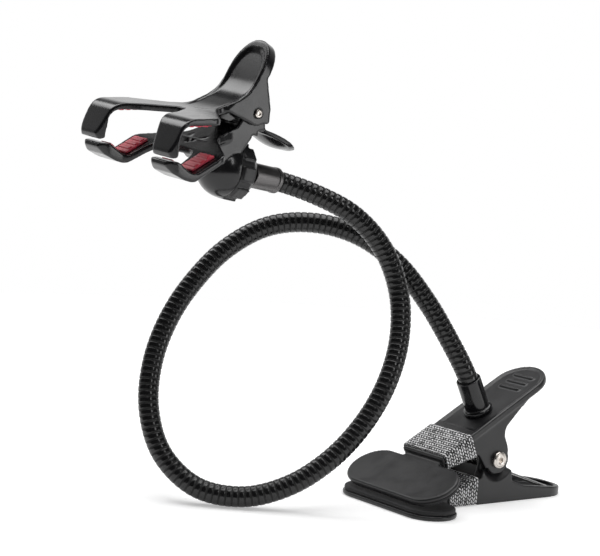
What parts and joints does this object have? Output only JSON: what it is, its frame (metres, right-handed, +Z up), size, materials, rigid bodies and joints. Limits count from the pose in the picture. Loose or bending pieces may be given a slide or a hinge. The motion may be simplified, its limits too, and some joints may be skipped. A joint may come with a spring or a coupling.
{
  "type": "gooseneck phone holder",
  "caption": "Spring table clip with a ribbed bendable neck in one loop and a sprung two-finger phone clamp on a ball joint.",
  "frame": {"origin": "on the table under the clip's pivot, on the underside of the lower lever's foot", "axes": "+X from the clip's jaws to its tail, Y along the clip's pivot, +Z up"},
  "size_m": [0.272, 0.1276, 0.2383],
  "materials": {
    "clip_plastic": "satin black moulded plastic",
    "pad_rubber": "soft black rubber sheet",
    "bolt_steel": "bright zinc-plated steel",
    "spring_steel": "bright spring wire",
    "woven_band": "woven elastic, black with bright white threads",
    "gloss_black": "gloss black",
    "neck_black": "ribbed metal hose with a black coat",
    "ferrule_grey": "dark grey satin paint",
    "ball_black": "smooth black",
    "nut_plastic": "fine-grained black plastic",
    "clamp_plastic": "semi-gloss black moulded plastic",
    "red_rubber": "soft red rubber"
  },
  "bodies": {
    "clip_base": {"clip_lower_lever": "clip_plastic", "clip_lower_pad": "pad_rubber", "clip_pivot_bolt": "bolt_steel", "clip_pivot_nut": "bolt_steel", "clip_spring": "spring_steel", "lower_jaw_band": "woven_band"},
    "clip_arm": {"clip_upper_lever": "clip_plastic", "clip_upper_pad": "pad_rubber", "upper_jaw_band": "woven_band", "neck_base_ferrule": "gloss_black", "ferrule_screw": "bolt_steel"},
    "neck": {"gooseneck": "neck_black"},
    "neck_tip": {"neck_head_ferrule": "ferrule_grey", "ball_stud": "ball_black"},
    "nut": {"lock_nut": "nut_plastic"},
    "phone_lower": {"lower_jaw": "clamp_plastic", "jaw_pin": "bolt_steel", "jaw_spring": "spring_steel", "lower_rear_pad_near": "red_rubber", "lower_rear_pad_far": "red_rubber", "lower_tip_pad_near": "red_rubber", "lower_tip_pad_far": "red_rubber"},
    "phone_upper": {"upper_jaw": "clamp_plastic", "upper_finger_pad_near": "red_rubber", "upper_finger_pad_far": "red_rubber"}
  },
  "joints": [
    {"name": "clip_hinge", "type": "hinge", "parent": "clip_base", "child": "clip_arm", "pos_m": [0, 0, 0.024], "axis": [0, 1, 0], "range_deg": [0, 30], "stiffness_Nm_per_rad": 1.5, "springref_deg": -40.11, "deforming": ["clip_spring"]},
    {"name": "neck_base_bend", "type": "hinge", "parent": "clip_arm", "child": "neck", "pos_m": [-0.02325, 0.00656, 0.0869], "axis": [0.6212, 0.7837, 0], "range_deg": [0, 30], "deforming": ["gooseneck"]},
    {"name": "neck_tip_bend", "type": "hinge", "parent": "neck", "child": "neck_tip", "pos_m": [-0.09138, 0.03121, 0.1572], "axis": [0.6212, 0.7837, 0], "range_deg": [-15, 25], "deforming": ["gooseneck"]},
    {"name": "ball_tilt", "type": "hinge", "parent": "neck_tip", "child": "nut", "pos_m": [-0.14695, 0.04861, 0.17121], "axis": [-0.0106, 0.9976, 0.069], "range_deg": [-20, 16]},
    {"name": "head_turn", "type": "hinge", "parent": "nut", "child": "phone_lower", "pos_m": [-0.14695, 0.04861, 0.17121], "axis": [0.9884, 0.0209, -0.1505], "range_deg": [-90, 90]},
    {"name": "jaw_hinge", "type": "hinge", "parent": "phone_lower", "child": "phone_upper", "pos_m": [-0.1436, 0.0465, 0.2022], "axis": [-0.0106, 0.9976, 0.069], "range_deg": [0, 40], "stiffness_Nm_per_rad": 0.4, "springref_deg": -45.84, "deforming": ["jaw_spring"]}
  ]
}
